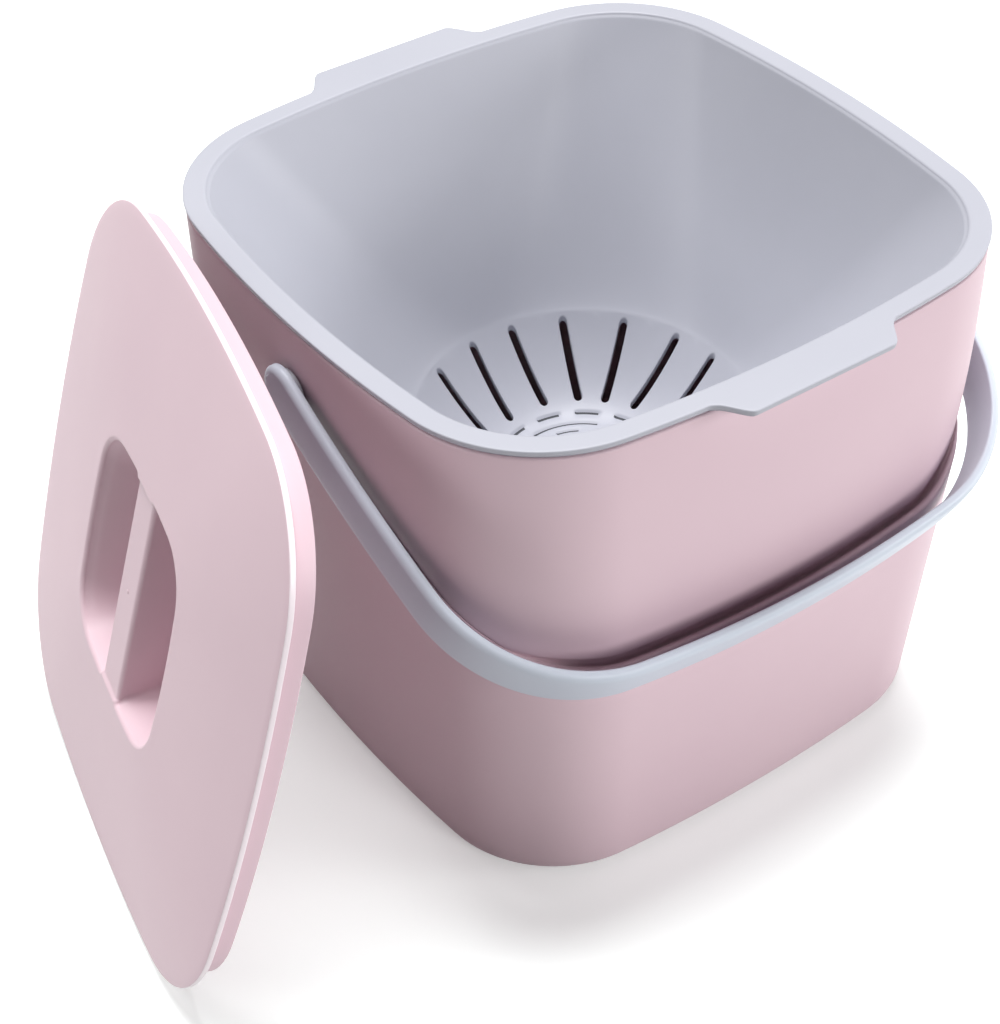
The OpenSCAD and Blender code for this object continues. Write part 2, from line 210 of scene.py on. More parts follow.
# what each look holds: two near shades as hex, the size of the colour clouds and of the grain in
# mm, the grain's strength, the roughness and how far the grain varies it, and the specular level;
# a real mould finish is finer than 0.1 mm, and the grain is drawn this coarse so that it shows
pinkLook = {"dark": "#d7bcc6", "light": "#dec4cc", "cloudMm": 60, "grainMm": 0.45, "grainDepth": 0.35,
            "rough": 0.5, "roughVary": 0.05, "sheen": 0.4}
# the edge look is a paler pink than the lid: a painted highlight along the plate's rounded edge
paintedHighlightEdgeLook = {"dark": "#f0e4e9", "light": "#f3e8ed", "cloudMm": 60, "grainMm": 0.45, "grainDepth": 0.1,
            "rough": 0.3, "roughVary": 0.04, "sheen": 0.5}
greyLook = {"dark": "#abacb6", "light": "#b2b3bc", "cloudMm": 50, "grainMm": 0.4, "grainDepth": 0.3,
            "rough": 0.45, "roughVary": 0.05, "sheen": 0.4}
# the mark look is a near-black grey for the ring grooves in the dish: painted shade in the grooves
paintedGrooveShadeLook = {"dark": "#47484d", "light": "#4d4f54", "cloudMm": 20, "grainMm": 0.3, "grainDepth": 0.2,
            "rough": 0.7, "roughVary": 0.05, "sheen": 0.2}
bailLook = {"dark": "#c8cfdb", "light": "#cfd6e2", "cloudMm": 40, "grainMm": 0.4, "grainDepth": 0.3,
            "rough": 0.42, "roughVary": 0.05, "sheen": 0.45}
studLook = {"dark": "#c2c3cc", "light": "#c9cad3", "cloudMm": 20, "grainMm": 0.4, "grainDepth": 0.2,
            "rough": 0.4, "roughVary": 0.04, "sheen": 0.5}
grainHeight = 0.05 * mm  # a fine spark-eroded mould finish


def satinPlastic(name, look):
    # moulded polypropylene, or turned acetal for the studs: two near shades in soft clouds, a fine
    # grain that keeps highlights broad, and a satin sheen
    mat = bpy.data.materials.new(name)
    mat.use_nodes = True
    tree = mat.node_tree
    tree.nodes.clear()
    coord = addNode(tree, "ShaderNodeTexCoord").outputs["Object"]
    cloud = addNode(tree, "ShaderNodeTexNoise", {"Scale": 1 / (look["cloudMm"] * mm), "Detail": 3.0},
                    {"Vector": coord}).outputs["Fac"]
    grain = addNode(tree, "ShaderNodeTexNoise", {"Scale": 1 / (look["grainMm"] * mm), "Detail": 2.0},
                    {"Vector": coord}).outputs["Fac"]
    shade = addNode(tree, "ShaderNodeMix", {"data_type": "RGBA"}, {"Factor": cloud})
    shade.inputs[6].default_value = toLinear(look["dark"])
    shade.inputs[7].default_value = toLinear(look["light"])
    rough = addNode(tree, "ShaderNodeMapRange", {"To Min": look["rough"] - look["roughVary"],
                    "To Max": look["rough"] + look["roughVary"]}, {"Value": grain}).outputs["Result"]
    bump = addNode(tree, "ShaderNodeBump", {"Strength": look["grainDepth"], "Distance": grainHeight},
                   {"Height": grain}).outputs["Normal"]
    plastic = addNode(tree, "ShaderNodeBsdfPrincipled",
                      {"Specular IOR Level": look["sheen"]},
                      {"Base Color": shade.outputs[2], "Roughness": rough, "Normal": bump})
    addNode(tree, "ShaderNodeOutputMaterial", links={"Surface": plastic.outputs["BSDF"]})
    return mat


pinkBucket = satinPlastic("pinkPolypropyleneBucketSparkGrain", pinkLook)
pinkLid = satinPlastic("pinkPolypropyleneLidSparkGrain", pinkLook)
# painted highlight for the lid plate's rounded edge
paintedHighlightEdge = satinPlastic("pinkPolypropyleneLidEdgePaintedHighlight", paintedHighlightEdgeLook)
greyBasket = satinPlastic("coolGreyPolypropyleneSatinMoulded", greyLook)
# painted shade for the dish's ring grooves
paintedGrooveShade = satinPlastic("coolGreyPolypropyleneMarkPaintedShade", paintedGrooveShadeLook)
greyBail = satinPlastic("blueGreyPolypropyleneStrapMoulded", bailLook)
paleStud = satinPlastic("paleGreyAcetalStudTurned", studLook)
print("materials made")


# bail sizes come first, because the bucket's step follows the resting bail
bailSize = {"armIn": 111.5, "thick": 3.8, "strapIn": 128.62, "cornerR": 56.0, "bow": 3.4, "width": 18.8,
            "softOut": 2.4, "softIn": 0.8, "crown": 0.4, "pointGap": 1.6, "pivotZ": 164.4, "restDeg": 29.843}
bucketSize = {"topW": 219.0, "topD": 215.0, "height": 187.0, "topR": 50.0, "baseW": 196.0, "baseD": 196.0,
              "baseR": 45.0, "bow": 3.4, "baseBow": 0.65, "hipBow": 0.8, "hipRound": 0.6, "wall": 2.4,
              "floor": 2.8, "baseEdge": 5.0, "baseFlat": 6.5, "floorFlat": 40.0, "hipZ": 100.0,
              "hipD": 214.4, "stepIn": 4.4, "sideIn": 0.6, "stepFrom": 0.55, "stepOver": 0.4,
              "stepDrop": 3.7, "stepCap": 153.4, "stepSoft": 1.1, "innerDrop": 1.6, "footZ": 1.3,
              "footR": 0.15, "lip": 0.8, "swell": 3.0,
              "groove": ((0.3, -0.1), (0.45, -0.8), (0.6, -2.3), (0.75, -2.8), (1.15, -2.8),
                         (1.25, -2.3), (1.25, 0.8))}
# baseBow and hipBow are shares of the bow, and hipRound is how far the hip's corners have gone from
# baseR to topR; the step deepens from sideIn to stepIn as the normal's y passes stepFrom, over
# stepOver; groove holds the gutter's points as (share of the way in, rise in mm)


def bucketShell(s, bail):
    # wall point = base-to-hip blend by height, minus inset along the normal; above the tilted step
    # the collar runs foot-to-top by 1 - (1 - t)^swell
    ang = outlineAngles(s["topW"] / 2, s["topD"] / 2, s["bow"], s["topR"], sideSteps, cornerSteps)
    out = np.column_stack([np.cos(ang), np.sin(ang)])

    def ringOf(halfX, halfY, bow, r):
        return outlineAt(outlineAngles(halfX, halfY, bow, r, sideSteps, cornerSteps), halfX, halfY, bow, r)

    taper = (s["topW"] - s["baseW"]) / 2 / s["height"]
    base = ringOf(s["baseW"] / 2, s["baseD"] / 2, s["bow"] * s["baseBow"], s["baseR"])
    hip = ringOf(s["baseW"] / 2 + taper * s["hipZ"], s["hipD"] / 2, s["bow"] * s["hipBow"],
                 mix(s["baseR"], s["topR"], s["hipRound"]))
    top = ringOf(s["topW"] / 2, s["topD"] / 2, s["bow"], s["topR"])

    def low(z, inset):
        z = np.broadcast_to(z, len(ang))
        inset = np.broadcast_to(inset, len(ang))
        return level(mix(base, hip, (z / s["hipZ"])[:, None]) - inset[:, None] * out, z)

    fall = math.tan(math.radians(bail["restDeg"]))
    peak = bail["pivotZ"] - s["stepDrop"] / math.cos(math.radians(bail["restDeg"]))
    grow = (np.abs(hip[:, 1]) - np.abs(base[:, 1])) / s["hipZ"]
    stepZ = np.minimum(s["stepCap"], (peak - np.abs(base[:, 1]) * fall) / (1 + grow * fall))
    back = mix(s["sideIn"], s["stepIn"], ease((np.abs(out[:, 1]) - s["stepFrom"]) / s["stepOver"]))
    soft = s["stepSoft"] * back / s["stepIn"]
    share = back / s["stepIn"]

    def collar(t, inset):
        t = np.broadcast_to(t, len(ang))
        foot = low(stepZ, back + inset)[:, :2]
        k = (1 - (1 - t) ** s["swell"])[:, None]
        return level(mix(foot, top - inset * out, k), mix(stepZ, s["height"], t))

    def lowBack(z, inset):  # the wall line the collar's foot starts from, carried up by z
        return level(low(stepZ, inset)[:, :2], z)

    # outside, from the middle of the base up to the step
    rings = [np.zeros((len(ang), 3)), low(0, s["floorFlat"]), low(0, s["baseFlat"])]
    for inset, drop in rounding(90, 0, 10):
        rings.append(low(s["baseEdge"] * drop, s["baseEdge"] * inset))
    for k in np.linspace(0.02, 1, 16):
        rings.append(low(mix(s["baseEdge"], stepZ - soft, k), 0))
    for inset, drop in rounding(15, 90, 6):
        rings.append(lowBack(stepZ - soft * drop, soft * inset))
    for inset, rise in s["groove"]:  # a gutter behind the ledge, which runs under the collar's edge
        rings.append(lowBack(stepZ + rise * share, mix(soft, back, inset)))
    # the collar, from its sharp foot to the lip
    footT = s["footZ"] * share / (s["height"] - stepZ)
    for a in np.radians(np.linspace(-75, 0, 5)):
        foot = collar(footT, s["footR"] * (1 - math.cos(a)))
        foot[:, 2] += s["footR"] * math.sin(a) * share
        rings.append(foot)
    lipT = 1 - s["lip"] / (s["height"] - stepZ)
    for k in np.linspace(0.03, 1, 26) ** 1.3:
        rings.append(collar(mix(footT, lipT, k), 0))
    for inset, drop in rounding(15, 90, 6):
        rings.append(level(top - s["lip"] * inset * out, s["height"] - s["lip"] * drop))
    # inside, from the lip down to the middle of the floor
    rings.append(level(top - s["wall"] * out, s["height"]))
    for t in np.linspace(0.97, 0.02, 14):
        rings.append(collar(t, s["wall"]))
    innerZ = stepZ - s["wall"] - s["innerDrop"] * share
    rings.append(low(innerZ, s["wall"] + back))
    for k in np.append(1, np.linspace(0.9, 0.0, 6)):
        rings.append(low(mix(s["floor"] + s["baseEdge"], innerZ - 1, k), s["wall"]))
    for inset, drop in rounding(15, 90, 6):
        rings.append(low(s["floor"] + s["baseEdge"] * drop, s["wall"] + s["baseEdge"] * inset))
    rings.append(low(s["floor"], s["floorFlat"]))
    rings.append(np.tile([0.0, 0.0, s["floor"]], (len(ang), 1)))
    shell = Shell()
    shell.grid(rings)
    return shell


addPiece("bucketBody", bucketShell(bucketSize, bailSize), [pinkBucket], "bucket",
         ["bucket"])
print("bucket made")


basketSize = {"rimW": 220.0, "rimD": 216.0, "rimR": 50.5, "rimZ": 190.2, "rimT": 3.2, "band": 7.6,
              "bow": 3.4, "depth": 111.0, "dishR": 58.0, "dishRise": 25.5, "flatR": 26.0, "dishCurve": 1.6,
              "dishWall": 2.2, "wall": 2.0, "curve": 0.9, "slots": 18, "slotW": 3.0, "slotIn": 35.5,
              "slotOut": 55.5, "slotTurn": -0.05, "slotLean": 12.0, "slotSoft": 0.3, "patchGap": 2.6,
              "tabW": 70.0, "tabReach": 8.6, "tabSwing": 9.0, "tabRoot": 0.7, "soft": 0.5, "lip": 1.0,
              "bandFrom": (1.25, 1.7), "underFrom": 1.0,
              "underEdge": ((0.25, 1.7), (0.45, 1.1), (0.62, 0.98), (0.9, 0.9), (1.45, 0.84), (1.6, 0.7),
                            (1.62, 0.3), (1.62, 0)),
              "discR": (0, 6, 12, 17, 19, 23, 27, 31.4), "markW": 1.6, "markDeep": 0.5, "markEnd": 12,
              "marks": ((29.8, 13, 50, 0.6), (24.8, 5, 69, 0.78), (20.8, 8, 68, 0.5))}
# slotTurn is a share of the slots' pitch; bandFrom holds where the lip ends and the flat band
# begins, out from the opening; underEdge is the rim's lower edge as (inset, height) in mm; each
# ring mark is (radius, dashes, angle of a dash in degrees, share of the ring that is marked)


def dishFloor(r, s):
    # flat middle, then rise * (distance past flatR as a share) ^ dishCurve, which steepens to the edge
    share = np.maximum(0, r - s["flatR"]) / (s["dishR"] - s["flatR"])
    return s["rimZ"] - s["depth"] + s["dishRise"] * share ** s["dishCurve"]


def slotPatch(s, mid, pitch, perSlot, down):
    # one slot's sector of the dish: its border blends into the slot's outline, which is turned by
    # its lean about its own middle, and the upper side (down = 0) goes on through the wall
    perSide = 14
    arc = np.linspace(-pitch / 2, pitch / 2, perSlot + 1)
    lane = np.linspace(s["slotIn"] - s["patchGap"], s["dishR"], perSide + 1)
    r = np.concatenate([np.full(perSlot, lane[-1]), lane[:0:-1], np.full(perSlot, lane[0]), lane[:-1]])
    a = mid + np.concatenate([arc[:-1], np.full(perSide, arc[-1]), arc[:0:-1], np.full(perSide, arc[0])])
    border = np.column_stack([r * np.cos(a), r * np.sin(a)])
    half, middle = s["slotW"] / 2, (s["slotIn"] + s["slotOut"]) / 2
    cap = np.linspace(-math.pi / 2, math.pi / 2, perSlot + 1)
    lane = np.linspace(s["slotIn"], s["slotOut"], perSide + 1)
    side, ends = np.ones(perSide), (cap[:-1], cap[:0:-1])
    along = np.concatenate([np.full(perSlot, lane[-1]), lane[:0:-1], np.full(perSlot, lane[0]), lane[:-1]])
    capX = np.concatenate([np.cos(ends[0]), 0 * side, -np.cos(ends[1]), 0 * side])
    capY = np.concatenate([np.sin(ends[0]), side, np.sin(ends[1]), -side])
    lean = -math.radians(s["slotLean"]) * math.sin(4 * mid)
    turned = turnZ(math.degrees(mid))[:2, :2] @ turnZ(math.degrees(lean))[:2, :2]

    def slotLine(grow):
        flat = np.column_stack([along - middle + (half + grow) * capX, (half + grow) * capY])
        return flat @ turned.T + middle * np.array([math.cos(mid), math.sin(mid)])

    def onDish(flat, drop=0.0):
        return level(flat, dishFloor(np.hypot(flat[:, 0], flat[:, 1]), s) - down - drop)

    soft = s["slotSoft"]
    rings = [onDish(mix(border, slotLine(soft), k)) for k in (0, 0.3, 0.55, 0.75, 0.9, 1)]
    if down == 0:
        rings += [onDish(slotLine(soft * 0.3), soft * 0.3), onDish(slotLine(0), soft)]
        rings.append(onDish(slotLine(0), s["dishWall"] - 0.01))
    rings.append(onDish(slotLine(0), s["dishWall"] - down))
    return rings


def basketShell(s):
    # the bowl blends a circle into the rounded square of the opening by u^curve, 16 columns a slot;
    # each slot sits in a patch of its own in the dish
    shell = Shell()
    perSlot = 16
    pitch = 2 * math.pi / s["slots"]
    start = pitch * (s["slotTurn"] - 0.5)
    ang = start + pitch / perSlot * np.arange(s["slots"] * perSlot)
    out = np.column_stack([np.cos(ang), np.sin(ang)])
    openSize = [s["rimW"] / 2 - s["band"], s["rimD"] / 2 - s["band"], s["bow"], s["rimR"] - s["band"]]
    openRing = outlineAt(ang, *openSize)
    edgeZ = dishFloor(np.array(s["dishR"]), s)

    def bowl(u, grow, down):
        return level(mix(s["dishR"] * out, openRing, u ** s["curve"]) + grow * out,
                     mix(edgeZ, s["rimZ"], u) - down)

    def markAt(r):  # 1 inside a dash of a broken groove round the flat middle, 0 elsewhere
        on = np.zeros(len(ang))
        for markR, count, at, share in s["marks"]:
            if abs(r - markR) < s["markW"] * 0.3:
                away = np.abs(np.mod((ang - math.radians(at)) * count / (2 * math.pi) + 0.5, 1) - 0.5)
                on = ease((share / 2 - away) * s["markEnd"] + 0.5)
        return on

    def discRing(r, down):
        sunk = s["markDeep"] * markAt(r) if down == 0 else 0
        return level(r * out, dishFloor(np.array(r), s) - down - sunk)

    # the dish, upper side and underside
    plain = list(s["discR"]) + [s["slotIn"] - s["patchGap"]]
    marks = [m[0] + d * s["markW"] for m in s["marks"] for d in (-0.5, -0.28, 0, 0.28, 0.5)]
    for down, radii in ((0.0, sorted(plain + marks)), (s["dishWall"], plain)):
        shell.grid([discRing(r, down) for r in radii], flip=down == 0)
        if down == 0:
            # faces inside the ring grooves take the dark mark material: painted shade in the grooves
            on = np.array([markAt(r) > 0.5 for r in radii])
            shell.parts[-1] = (on[:-1] & on[1:]).astype(int).reshape(-1)
        for mid in start + pitch * (np.arange(s["slots"]) + 0.5):
            shell.grid(slotPatch(s, mid, pitch, perSlot, down), flip=down > 0)
    # the bowl's inside up to its lip
    lipU = 1 - s["lip"] / (s["rimZ"] - edgeZ)
    inner = [bowl(u, 0, 0) for u in np.linspace(0, 0.985, 40) ** 1.4] + [bowl(lipU, 0, 0)]
    inner += [level(openRing + s["lip"] * inset * out, s["rimZ"] - s["lip"] * drop)
              for inset, drop in rounding(12, 90, 7)]
    inner.append(level(openRing + s["bandFrom"][0] * out, s["rimZ"]))
    shell.grid(inner, flip=True)
    # the rim: a flat band whose outer edge swings out at the two tabs
    rimX, rimY = s["rimW"] / 2, s["rimD"] / 2
    rimAng = outlineAngles(rimX, rimY, s["bow"], s["rimR"], 60, 30)
    edge = outlineAt(rimAng, rimX, rimY, s["bow"], s["rimR"])
    reach = (s["tabReach"] + s["tabRoot"]) * ease((s["tabW"] / 2 - np.abs(edge[:, 0])) / s["tabSwing"])
    swung = np.sign(edge[:, 1]) * np.maximum(np.abs(edge[:, 1]), rimY - s["tabRoot"] + reach)
    edge[:, 1] = np.where(np.abs(edge[:, 0]) < s["tabW"] / 2, swung, edge[:, 1])
    outward = outwardOf(edge)
    rimOut = np.column_stack([np.cos(rimAng), np.sin(rimAng)])
    innerEdge = outlineAt(rimAng, *openSize)
    bandEdge = innerEdge + s["bandFrom"][1] * rimOut
    rim = [level(mix(bandEdge, edge - s["soft"] * outward, k), s["rimZ"]) for k in (0, 0.3, 0.6, 0.85, 1)]
    rim += [level(edge - s["soft"] * drop * outward, s["rimZ"] - s["soft"] * inset)
            for inset, drop in rounding(15, 90, 6)]
    lowZ = s["rimZ"] - s["rimT"]
    rim += [level(edge - inset * outward, lowZ + z) for inset, z in s["underEdge"]]
    under = innerEdge + (s["wall"] + s["underFrom"]) * rimOut
    rim += [level(mix(edge - s["underEdge"][-1][0] * outward, under, k), lowZ) for k in (0.4, 1)]
    shell.grid(rim, flip=True)
    turn = int(np.argmax(np.mod(ang, 2 * math.pi) < pitch / perSlot))
    bowlKey = np.mod(np.roll(ang, -turn), 2 * math.pi)
    shell.stitch(np.roll(inner[-1], -turn, axis=0), rim[0], bowlKey, rimAng, flip=True)
    # the bowl's outside, thinner where it meets the dish
    outer = [level(s["dishR"] * out, edgeZ - s["dishWall"])]
    for u in np.linspace(0, 0.95, 18) ** 1.3:
        near = min(1, u * 3)
        outer.append(bowl(u, s["wall"] * mix(0.7, 1, near), s["wall"] * mix(0.7, 0, near)))
    outer.append(level(openRing + s["wall"] * out, lowZ))
    shell.grid(outer)
    shell.stitch(rim[-1], np.roll(outer[-1], -turn, axis=0), rimAng, bowlKey, flip=True)
    return shell


addPiece("basketBowl", basketShell(basketSize), [greyBasket, paintedGrooveShade], "basket",
         ["basket"])
print("basket made")


def bailShell(s):
    # a rounded band section carried round half of a bowed, rounded rectangle; past each pivot the
    # section shrinks on a circle: y = rho * sin(a), z = z0 * cos(a)
    halfT, halfW = s["thick"] / 2, s["width"] / 2
    corners = []
    for cx, cz, a0, e in ((1, 1, 0, s["softOut"]), (-1, 1, 90, s["softIn"]),
                          (-1, -1, 180, s["softIn"]), (1, -1, 270, s["softOut"])):
        a = np.radians(np.linspace(a0, a0 + 90, 10))
        corners.append(np.column_stack([cx * (halfT - e) + e * np.cos(a),
                                        cz * (halfW - e) + e * np.sin(a)]))
    corners = np.concatenate(corners)
    run = np.roll(corners, -1, axis=0) - corners  # a long straight run is cut to pieces near pointGap
    cuts = np.maximum(1, (np.linalg.norm(run, axis=1) / s["pointGap"]).astype(int))
    k = np.arange(cuts.sum()) - np.repeat(np.cumsum(cuts) - cuts, cuts)
    section = np.repeat(corners, cuts, axis=0) + np.repeat(run / cuts[:, None], cuts, axis=0) * k[:, None]
    # rho is how far the section's outline reaches from the strap's middle at its own thickness
    edgeR = np.where(section[:, 0] > s["softIn"] - halfT, s["softOut"], s["softIn"])
    delta = np.maximum(0, np.abs(section[:, 0]) - (halfT - edgeR))
    rho = halfW - (edgeR - np.sqrt(np.maximum(edgeR * edgeR - delta ** 2, 0)))
    # the outer face is crowned by crown * (z / half width)^2
    section[:, 0] -= s["crown"] * (section[:, 1] / halfW) ** 2 * np.clip(section[:, 0] / halfT, 0, 1)
    size = [s["armIn"], s["strapIn"], s["bow"], s["cornerR"] - s["thick"]]
    full = outlineAngles(*size, 22, 36)
    ang = np.append(full[len(full) // 2:], 2 * math.pi)  # from the left pivot by the front to the right
    line = outlineAt(ang, *size)
    normal = np.column_stack([np.cos(ang), np.sin(ang)])
    thick = section[:, 0] + halfT

    def roundEnd(side, a):  # the rings past one pivot, a ring for each angle
        return np.stack(np.broadcast_arrays(side * (s["armIn"] + thick), rho * np.sin(a)[:, None],
                                            section[:, 1] * np.cos(a)[:, None]), axis=-1)

    a = np.radians(np.linspace(90, 0, 14, endpoint=False))
    flat = line[:, None] + thick[:, None] * normal[:, None]
    strap = np.concatenate([flat, np.broadcast_to(section[:, 1, None], (*flat.shape[:2], 1))], axis=2)
    shell = Shell()
    shell.grid(np.concatenate([roundEnd(-1, a), strap, roundEnd(1, a[::-1])]), flip=True)
    return shell


bailPlace = placed(turnX(bailSize["restDeg"]), [0, 0, bailSize["pivotZ"]])
addPiece("bailStrap", bailShell(bailSize), [greyBail], "bail", ["bail"], bailPlace)


studSize = {"bossR": 7.0, "bossEnd": 109.533, "armIn": 111.4, "shankR": 4.0, "headIn": 105.29, "headR": 5.2,
            "headT": 1.6, "headFlat": 4.2, "spigotR": 3.5, "spigotL": 2.28, "soft": 0.5, "steps": 64}


def studShell(s, side):
    # profile of radius against x, turned about the pivot axis: a rounded head inside the wall, the
    # shank through it, the boss outside and the spigot in the bail's arm
    f = s["soft"]
    headX, spigotX = s["headIn"] - s["headT"], s["armIn"] + s["spigotL"]
    prof = [(headX, 0.0), (headX, s["headFlat"])]
    prof += [(headX + f * a, s["headR"] - f * b) for a, b in rounding(0, 90, 5)]
    prof += [(s["headIn"], s["headR"]), (s["headIn"], s["shankR"]), (s["bossEnd"], s["shankR"])]
    prof += [(s["bossEnd"], s["bossR"] - f)]
    prof += [(s["bossEnd"] + f * a, s["bossR"] - f * b) for a, b in rounding(10, 90, 5)]
    prof += [(s["armIn"], s["bossR"]), (s["armIn"], s["spigotR"])]
    prof += [(spigotX, s["spigotR"]), (spigotX, 0.0)]
    turn = np.linspace(0, 2 * math.pi, s["steps"], endpoint=False)
    circle = np.column_stack([np.zeros(len(turn)), np.cos(turn), np.sin(turn)])
    shell = Shell()
    shell.grid([[side * x, 0, 0] + r * circle for x, r in prof], flip=side < 0)
    return shell


studPlace = placed(np.eye(3), [0, 0, bailSize["pivotZ"]])
for word, side in (("Left", -1), ("Right", 1)):
    addPiece("pivotStud" + word, studShell(studSize, side), [paleStud], "bail",
             ["pivot_stud_" + word.lower()], studPlace)
print("bail and studs made")


lidSize = {"w": 206.8, "l": 210.75, "r": 45.9, "bow": 3.4, "edge": 2.0, "edgeSoft": 0.5, "dome": 7.4,
           "wall": 2.0, "wellW": 80.0, "wellL": 79.0, "wellR": 17.0, "wellBow": 1.0, "depth": 18.0,
           "draft": 6.0, "lipSoft": 1.6, "underSoft": 0.6, "floorSoft": 2.2, "barW": 15.8, "barDrop": 0.9,
           "barFall": 1.8, "barEnd": 3.0, "barDraft": 0.3, "barRound": 1.4, "barRoundLow": 3.8,
           "frame": 3.8, "plugW": 198.8, "plugL": 202.8, "plugR": 41.9, "plugH": 9.4, "plugSoft": 0.6,
           "left": 162.49, "back": 12.6, "z": 101.487, "lean": 16.5, "turn": 12.3,
           "pip": ((0, 0.22), (0.5, 0.2), (0.75, 0.08), (0.8, -0.1), (0, -0.1))}
# barFall is the run of the step from the well's lip down to the bar; pip is the small mark where
# the plastic entered the mould, as (radius, height over the bar)
lidPlace = placed(turnZ(180 - lidSize["turn"]) @ turnY(90 - lidSize["lean"]) @ turnZ(90),
                  [-lidSize["left"], lidSize["back"], lidSize["z"]])


def lidShell(s):
    # the dome is 1 - (ring width / lid width)^2; each finger pocket blends the half ring round the
    # well and the bar's middle line into its own outline, then goes down to its floor
    shell = Shell()
    sideN, cornerN, endN, barN = 10, 20, 10, 22
    quarter = 2 * sideN + cornerN
    wellHalf = np.array([s["wellW"], s["wellL"]]) / 2
    halfBar = s["barW"] / 2

    def domeAt(width):
        return s["dome"] * (1 - (width / s["w"]) ** 2)

    lipZ = domeAt(s["wellW"])
    barZ, floorZ = lipZ - s["barDrop"], lipZ - s["depth"]

    def ringOf(t, grow=0.0):  # t runs from the plate's edge (0) to the well's lip (1)
        dims = [mix(s["w"], s["wellW"], t) / 2 + grow, mix(s["l"], s["wellL"], t) / 2 + grow,
                mix(s["bow"], s["wellBow"], t), mix(s["r"], s["wellR"], t) + grow]
        return outlineAt(outlineAngles(*dims, sideN, cornerN), *dims)

    def heightAt(flat):  # the dome, easing down to the bar inside the well's outline
        q = np.abs(flat) - (wellHalf - s["wellR"])
        away = np.hypot(*np.maximum(q, 0).T) + np.minimum(q.max(axis=1), 0) - s["wellR"]
        return mix(domeAt(s["wellW"] + 2 * np.maximum(away, 0)), barZ, ease(-away / s["barFall"]))

    def pocketOutline(inset, barX, small):
        # one finger pocket as a loop: from beside the bar round the outer side, then down the bar
        a = np.radians(np.linspace(-90, 90, 721))
        outer = outlineAt(a, *(wellHalf - inset), s["wellBow"], s["wellR"] - inset)
        y0 = -np.interp(barX + small, outer[:361, 0], outer[:361, 1])
        outer = outer[outer[:, 0] > barX + small]
        outer = np.concatenate([[[barX + small, -y0]], outer, [[barX + small, y0]]])
        seg = np.append(0, np.cumsum(np.linalg.norm(np.diff(outer, axis=0), axis=1)))
        at = np.linspace(0, seg[-1], 2 * quarter + 1)
        outer = np.column_stack([np.interp(at, seg, outer[:, k]) for k in (0, 1)])
        b = math.pi / 2 * np.arange(1, endN + 1) / endN
        top = np.column_stack([barX + small - small * np.sin(b), y0 - small + small * np.cos(b)])
        straight = np.linspace(y0 - small, small - y0, barN + 1)[1:-1]
        bar = np.column_stack([np.full(barN - 1, barX), straight])
        return np.concatenate([outer, top, bar, (top * [1, -1])[::-1]])

    # the loop that both pockets start from: a half ring of the dome and the bar's middle line
    frameT = (s["w"] - s["wellW"] - 2 * s["frame"]) / (s["w"] - s["wellW"])
    halfRing = np.roll(ringOf(frameT), quarter, axis=0)[:2 * quarter + 1]
    endY, bend = halfRing[:, 1].max(), s["wellL"] / 2 - s["barEnd"]
    down = np.concatenate([np.linspace(endY, bend, endN + 1), np.linspace(bend, -bend, barN + 1)[1:],
                           np.linspace(-bend, -endY, endN + 1)[1:-1]])[1:]
    border = np.concatenate([halfRing, np.column_stack([np.zeros(len(down)), down])])
    topLoop = pocketOutline(0, halfBar, s["barRound"])
    lowLoop = pocketOutline(s["draft"], halfBar + s["barDraft"], s["barRoundLow"])
    for drop, soft, flip in ((0.0, s["lipSoft"], False), (s["wall"], s["underSoft"], True)):
        # drop is 0 on the face, and the wall on the underside, where the pocket is as much wider
        topOut = outwardOf(topLoop)
        rimLoop = topLoop + (drop + soft) * topOut
        rings = []
        for k in (0, 0.25, 0.5, 0.7, 0.85, 0.95, 1):
            flat = mix(border, rimLoop, k)
            z = heightAt(flat)
            if k == 0:
                z[:2 * quarter + 1] = domeAt(s["wellW"] + 2 * s["frame"])
            rings.append(level(flat, z - drop))
        rimZ = heightAt(rimLoop) - drop
        for inset, rise in rounding(12, 90, 8):
            rings.append(level(topLoop + (drop + soft * rise) * topOut, rimZ - soft * inset))
        bottom = floorZ - drop
        turnR = s["floorSoft"]
        for k in np.linspace(0.12, 1, 8):
            z = mix(rimZ - soft, bottom + turnR, k)
            loop = mix(topLoop, lowLoop, np.clip((lipZ - drop - z) / s["depth"], 0, 1)[:, None])
            rings.append(level(loop + drop * outwardOf(loop), z))
        for inset, rise in rounding(12, 90, 8):
            z = bottom + turnR * rise
            loop = mix(topLoop, lowLoop, (lipZ - drop - z) / s["depth"])
            rings.append(level(loop + (drop - turnR * inset) * outwardOf(loop), z))
        last = rings[-1][:, :2]
        centre = np.tile([(halfBar + s["wellW"] / 2) / 2, 0.0], (len(last), 1))
        spine = np.column_stack([centre[:, 0], last[:, 1] * 0.45])
        rings += [level(flat, bottom) for flat in (mix(last, spine, 0.35), mix(last, spine, 0.7), centre)]
        rings = np.array(rings)
        shell.grid(rings, flip=flip)
        shell.grid(rings * [-1, 1, 1], flip=not flip)
    # dome, edge and underside as (place from edge to lip, growth, height)
    dome = [(t, 0.0, domeAt(mix(s["w"], s["wellW"], t))) for t in np.linspace(frameT, 0.012, 26)]
    e = s["edgeSoft"]
    edge = [(0.0, -e * rise, -e * inset) for inset, rise in rounding(0, 90, 6)]
    edge += [(0.0, -e * inset, -s["edge"] + e * rise) for inset, rise in rounding(0, 90, 6)]
    under = [(0.14, 0.0, -s["edge"])]
    under += [(t, 0.0, domeAt(mix(s["w"], s["wellW"], t)) - s["wall"])
              for t in np.linspace(0.2, frameT, 20)]
